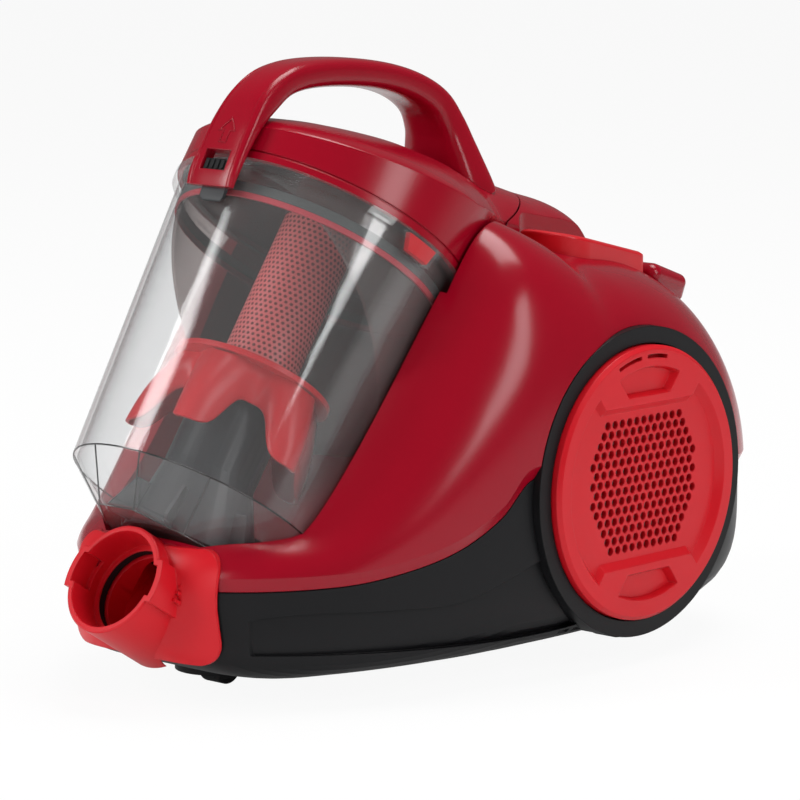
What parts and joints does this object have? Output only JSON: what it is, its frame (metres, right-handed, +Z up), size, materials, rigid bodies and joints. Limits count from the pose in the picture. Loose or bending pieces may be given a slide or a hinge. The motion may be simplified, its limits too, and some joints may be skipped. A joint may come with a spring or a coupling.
{
  "type": "canister vacuum cleaner",
  "caption": "Bagless canister vacuum cleaner with a leaning clear dust container, arched carry handle, round side exhaust covers, foot pedals and a tilted front hose socket.",
  "frame": {"origin": "centre of the bounding box's bottom, on the floor under the machine", "axes": "+Z up, -Y towards the hose socket at the front, +X to the machine's own left"},
  "size_m": [0.262, 0.4097, 0.3135],
  "materials": {
    "deep_red": "glossy moulded",
    "bright_red": "satin moulded",
    "black_plastic": "satin moulded",
    "clear_plastic": "clear moulded",
    "smoke_plastic": "smoky clear moulded",
    "grey_rubber": "matt",
    "pink_rubber": "matt",
    "black_rubber": "matt",
    "grey_plastic": "moulded",
    "dark_plastic": "satin moulded",
    "steel": "plain",
    "copper": "wound wire",
    "aluminium": "cast",
    "filter_paper": "pleated",
    "filter_foam": "open foam",
    "circuit": "printed board"
  },
  "bodies": {
    "base": {"lower_housing": "black_plastic", "upper_housing": "deep_red", "neck_block": "deep_red", "rear_grip": "deep_red", "inlet_socket": "bright_red", "inlet_seal": "black_rubber", "inlet_duct": "black_plastic", "port_seal": "black_rubber", "bezel_right": "black_plastic", "bezel_left": "black_plastic", "exhaust_filter_right": "filter_paper", "exhaust_filter_left": "filter_paper", "pedal_shelf": "black_plastic", "power_springs": "steel", "rewind_springs": "steel", "power_switch": "black_plastic", "control_board": "circuit", "motor_case": "grey_plastic", "motor_stator": "copper", "motor_feet": "black_rubber", "motor_intake": "black_plastic", "motor_filter": "filter_foam", "reel_frame": "black_plastic", "reel_axle": "steel", "rewind_spring": "steel", "reel_brake": "bright_red", "cord_bush": "black_rubber", "rear_axles": "steel", "caster_socket": "grey_plastic", "base_screws": "steel"},
    "container": {"bin_shell": "clear_plastic", "intake_funnel": "dark_plastic", "funnel_fins": "bright_red"},
    "lid_unit": {"lid": "deep_red", "handle": "deep_red", "lid_gasket": "grey_rubber", "gasket_ring": "pink_rubber", "separator_cup": "smoke_plastic", "mesh_filter": "bright_red", "mesh_cap": "bright_red", "dust_skirt": "bright_red"},
    "latch": {"lid_latch": "black_plastic"},
    "power_pedal_body": {"power_pedal": "bright_red"},
    "rewind_pedal_body": {"rewind_pedal": "bright_red"},
    "cover_right": {"filter_cover_right": "bright_red"},
    "cover_left": {"filter_cover_left": "bright_red"},
    "rotor": {"motor_rotor": "steel", "motor_fan": "aluminium"},
    "reel": {"reel_drum": "grey_plastic"},
    "wheel_right": {"rear_wheel_right": "black_rubber"},
    "wheel_left": {"rear_wheel_left": "black_rubber"},
    "caster": {"caster_fork": "black_plastic", "caster_axle": "steel"},
    "caster_roller": {"caster_wheel": "black_rubber"}
  },
  "joints": [
    {"name": "container_lift", "type": "slide", "parent": "base", "child": "container", "axis": [0, 0, 1], "range_m": [0, 0.2]},
    {"name": "lid_lift", "type": "slide", "parent": "container", "child": "lid_unit", "axis": [0, 0.5736, 0.8192], "range_m": [0, 0.14]},
    {"name": "latch_slide", "type": "slide", "parent": "lid_unit", "child": "latch", "axis": [0, 0.4695, 0.8829], "range_m": [0, 0.004], "stiffness_N_per_m": 600, "springref_m": -0.002},
    {"name": "power_press", "type": "slide", "parent": "base", "child": "power_pedal_body", "axis": [0, 0, -1], "range_m": [0, 0.005], "stiffness_N_per_m": 1500, "springref_m": -0.002, "deforming": ["power_springs"]},
    {"name": "rewind_press", "type": "slide", "parent": "base", "child": "rewind_pedal_body", "axis": [0, 0, -1], "range_m": [0, 0.005], "stiffness_N_per_m": 1500, "springref_m": -0.002, "deforming": ["rewind_springs"]},
    {"name": "cover_turn_right", "type": "hinge", "parent": "base", "child": "cover_right", "pos_m": [0.121, 0.067, 0.0943], "axis": [1, 0, 0], "range_deg": [0, 20]},
    {"name": "cover_turn_left", "type": "hinge", "parent": "base", "child": "cover_left", "pos_m": [-0.121, 0.067, 0.0943], "axis": [-1, 0, 0], "range_deg": [0, 20]},
    {"name": "motor_spin", "type": "hinge", "parent": "base", "child": "rotor", "pos_m": [0, 0.027, 0.076], "axis": [1, 0, 0], "continuous": true},
    {"name": "reel_spin", "type": "hinge", "parent": "base", "child": "reel", "pos_m": [0, 0.136, 0.096], "axis": [1, 0, 0], "continuous": true},
    {"name": "wheel_spin_right", "type": "hinge", "parent": "base", "child": "wheel_right", "pos_m": [0.076, 0.104, 0.019], "axis": [1, 0, 0], "continuous": true},
    {"name": "wheel_spin_left", "type": "hinge", "parent": "base", "child": "wheel_left", "pos_m": [-0.076, 0.104, 0.019], "axis": [1, 0, 0], "continuous": true},
    {"name": "caster_swivel", "type": "hinge", "parent": "base", "child": "caster", "pos_m": [0, -0.119, 0.02], "axis": [0, 0, 1], "continuous": true},
    {"name": "caster_roll", "type": "hinge", "parent": "caster", "child": "caster_roller", "pos_m": [0, -0.116, 0.0095], "axis": [1, 0, 0], "continuous": true}
  ]
}
